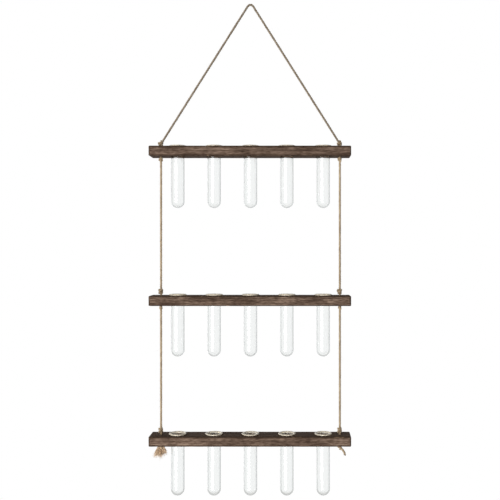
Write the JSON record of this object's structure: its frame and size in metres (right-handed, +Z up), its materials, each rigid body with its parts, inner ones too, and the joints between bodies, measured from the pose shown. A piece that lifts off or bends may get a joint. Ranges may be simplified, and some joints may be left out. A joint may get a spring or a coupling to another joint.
{
  "type": "propagation vase",
  "caption": "Hanging propagation vase: stained wooden bars, one under the other on knotted jute twine, each with a row of clear glass tubes with flared lips that lift out.",
  "frame": {"origin": "centre of the bend at the top of the twine, where a nail goes", "axes": "+Z up, +X along the bars, +Y to the back, at the wall"},
  "size_m": [0.33, 0.038, 0.812],
  "materials": {
    "stained_wood": "dark walnut stain on sawn pine, matt, darkest along the edges",
    "clear_glass": "clear, drawn tube with a fire-polished lip",
    "jute_twine": "three-ply natural jute, hairy"
  },
  "bodies": {
    "bridle": {"twine_bridle": "jute_twine", "knots_over_top_bar": "jute_twine"},
    "top_bar": {"bar_top": "stained_wood", "twine_in_top_bar": "jute_twine"},
    "middle_bar": {"bar_middle": "stained_wood", "twine_in_middle_bar": "jute_twine"},
    "bottom_bar": {"bar_bottom": "stained_wood", "twine_in_bottom_bar": "jute_twine", "knots_under_bottom_bar": "jute_twine", "twine_tail_left": "jute_twine", "twine_tail_right": "jute_twine"},
    "knots_under_top": {"knots_under_top_bar": "jute_twine"},
    "upper_twine_left": {"twine_upper_left": "jute_twine"},
    "upper_twine_right": {"twine_upper_right": "jute_twine"},
    "knots_over_middle": {"knots_over_middle_bar": "jute_twine"},
    "knots_under_middle": {"knots_under_middle_bar": "jute_twine"},
    "lower_twine_left": {"twine_lower_left": "jute_twine"},
    "lower_twine_right": {"twine_lower_right": "jute_twine"},
    "knots_over_bottom": {"knots_over_bottom_bar": "jute_twine"},
    "tube_top_1": {"tube_top_1": "clear_glass"},
    "tube_top_2": {"tube_top_2": "clear_glass"},
    "tube_top_3": {"tube_top_3": "clear_glass"},
    "tube_top_4": {"tube_top_4": "clear_glass"},
    "tube_top_5": {"tube_top_5": "clear_glass"},
    "tube_middle_1": {"tube_middle_1": "clear_glass"},
    "tube_middle_2": {"tube_middle_2": "clear_glass"},
    "tube_middle_3": {"tube_middle_3": "clear_glass"},
    "tube_middle_4": {"tube_middle_4": "clear_glass"},
    "tube_middle_5": {"tube_middle_5": "clear_glass"},
    "tube_bottom_1": {"tube_bottom_1": "clear_glass"},
    "tube_bottom_2": {"tube_bottom_2": "clear_glass"},
    "tube_bottom_3": {"tube_bottom_3": "clear_glass"},
    "tube_bottom_4": {"tube_bottom_4": "clear_glass"},
    "tube_bottom_5": {"tube_bottom_5": "clear_glass"}
  },
  "joints": [
    {"name": "top_bar_tilt", "type": "hinge", "parent": "bridle", "child": "top_bar", "pos_m": [0, 0, -0.22652], "axis": [1, 0, 0], "range_deg": [-30, 30]},
    {"name": "upper_twine_swing", "type": "hinge", "parent": "top_bar", "child": "knots_under_top", "pos_m": [0, 0, -0.25318], "axis": [1, 0, 0], "range_deg": [-45, 45]},
    {"name": "upper_twine_sway", "type": "hinge", "parent": "knots_under_top", "child": "upper_twine_left", "pos_m": [-0.1475, 0, -0.25318], "axis": [0, 1, 0], "range_deg": [-6, 6]},
    {"name": "upper_twine_sway_right", "type": "hinge", "parent": "knots_under_top", "child": "upper_twine_right", "pos_m": [0.1475, 0, -0.25318], "axis": [0, 1, 0], "range_deg": [-6, 6]},
    {"name": "middle_bar_level", "type": "hinge", "parent": "upper_twine_left", "child": "knots_over_middle", "pos_m": [-0.1475, 0, -0.47007], "axis": [0, 1, 0], "range_deg": [-6, 6]},
    {"name": "middle_bar_tilt", "type": "hinge", "parent": "knots_over_middle", "child": "middle_bar", "pos_m": [0, 0, -0.47007], "axis": [1, 0, 0], "range_deg": [-30, 30]},
    {"name": "lower_twine_swing", "type": "hinge", "parent": "middle_bar", "child": "knots_under_middle", "pos_m": [0, 0, -0.49798], "axis": [1, 0, 0], "range_deg": [-45, 45]},
    {"name": "lower_twine_sway", "type": "hinge", "parent": "knots_under_middle", "child": "lower_twine_left", "pos_m": [-0.1475, 0, -0.49798], "axis": [0, 1, 0], "range_deg": [-6, 6]},
    {"name": "lower_twine_sway_right", "type": "hinge", "parent": "knots_under_middle", "child": "lower_twine_right", "pos_m": [0.1475, 0, -0.49798], "axis": [0, 1, 0], "range_deg": [-6, 6]},
    {"name": "bottom_bar_level", "type": "hinge", "parent": "lower_twine_left", "child": "knots_over_bottom", "pos_m": [-0.1475, 0, -0.69907], "axis": [0, 1, 0], "range_deg": [-6, 6]},
    {"name": "bottom_bar_tilt", "type": "hinge", "parent": "knots_over_bottom", "child": "bottom_bar", "pos_m": [0, 0, -0.69907], "axis": [1, 0, 0], "range_deg": [-30, 30]},
    {"name": "lift_top_1", "type": "slide", "parent": "top_bar", "child": "tube_top_1", "axis": [0, 0, 1], "range_m": [0, 0.02]},
    {"name": "lift_top_2", "type": "slide", "parent": "top_bar", "child": "tube_top_2", "axis": [0, 0, 1], "range_m": [0, 0.108]},
    {"name": "lift_top_3", "type": "slide", "parent": "top_bar", "child": "tube_top_3", "axis": [0, 0, 1], "range_m": [0, 0.108]},
    {"name": "lift_top_4", "type": "slide", "parent": "top_bar", "child": "tube_top_4", "axis": [0, 0, 1], "range_m": [0, 0.108]},
    {"name": "lift_top_5", "type": "slide", "parent": "top_bar", "child": "tube_top_5", "axis": [0, 0, 1], "range_m": [0, 0.02]},
    {"name": "lift_middle_1", "type": "slide", "parent": "middle_bar", "child": "tube_middle_1", "axis": [0, 0, 1], "range_m": [0, 0.108]},
    {"name": "lift_middle_2", "type": "slide", "parent": "middle_bar", "child": "tube_middle_2", "axis": [0, 0, 1], "range_m": [0, 0.108]},
    {"name": "lift_middle_3", "type": "slide", "parent": "middle_bar", "child": "tube_middle_3", "axis": [0, 0, 1], "range_m": [0, 0.108]},
    {"name": "lift_middle_4", "type": "slide", "parent": "middle_bar", "child": "tube_middle_4", "axis": [0, 0, 1], "range_m": [0, 0.108]},
    {"name": "lift_middle_5", "type": "slide", "parent": "middle_bar", "child": "tube_middle_5", "axis": [0, 0, 1], "range_m": [0, 0.108]},
    {"name": "lift_bottom_1", "type": "slide", "parent": "bottom_bar", "child": "tube_bottom_1", "axis": [0, 0, 1], "range_m": [0, 0.108]},
    {"name": "lift_bottom_2", "type": "slide", "parent": "bottom_bar", "child": "tube_bottom_2", "axis": [0, 0, 1], "range_m": [0, 0.108]},
    {"name": "lift_bottom_3", "type": "slide", "parent": "bottom_bar", "child": "tube_bottom_3", "axis": [0, 0, 1], "range_m": [0, 0.108]},
    {"name": "lift_bottom_4", "type": "slide", "parent": "bottom_bar", "child": "tube_bottom_4", "axis": [0, 0, 1], "range_m": [0, 0.108]},
    {"name": "lift_bottom_5", "type": "slide", "parent": "bottom_bar", "child": "tube_bottom_5", "axis": [0, 0, 1], "range_m": [0, 0.108]}
  ],
  "couplings": [
    {"joint": "upper_twine_sway_right", "follows": "upper_twine_sway", "ratio": 1},
    {"joint": "middle_bar_level", "follows": "upper_twine_sway", "ratio": -1},
    {"joint": "lower_twine_sway_right", "follows": "lower_twine_sway", "ratio": 1},
    {"joint": "bottom_bar_level", "follows": "lower_twine_sway", "ratio": -1}
  ]
}
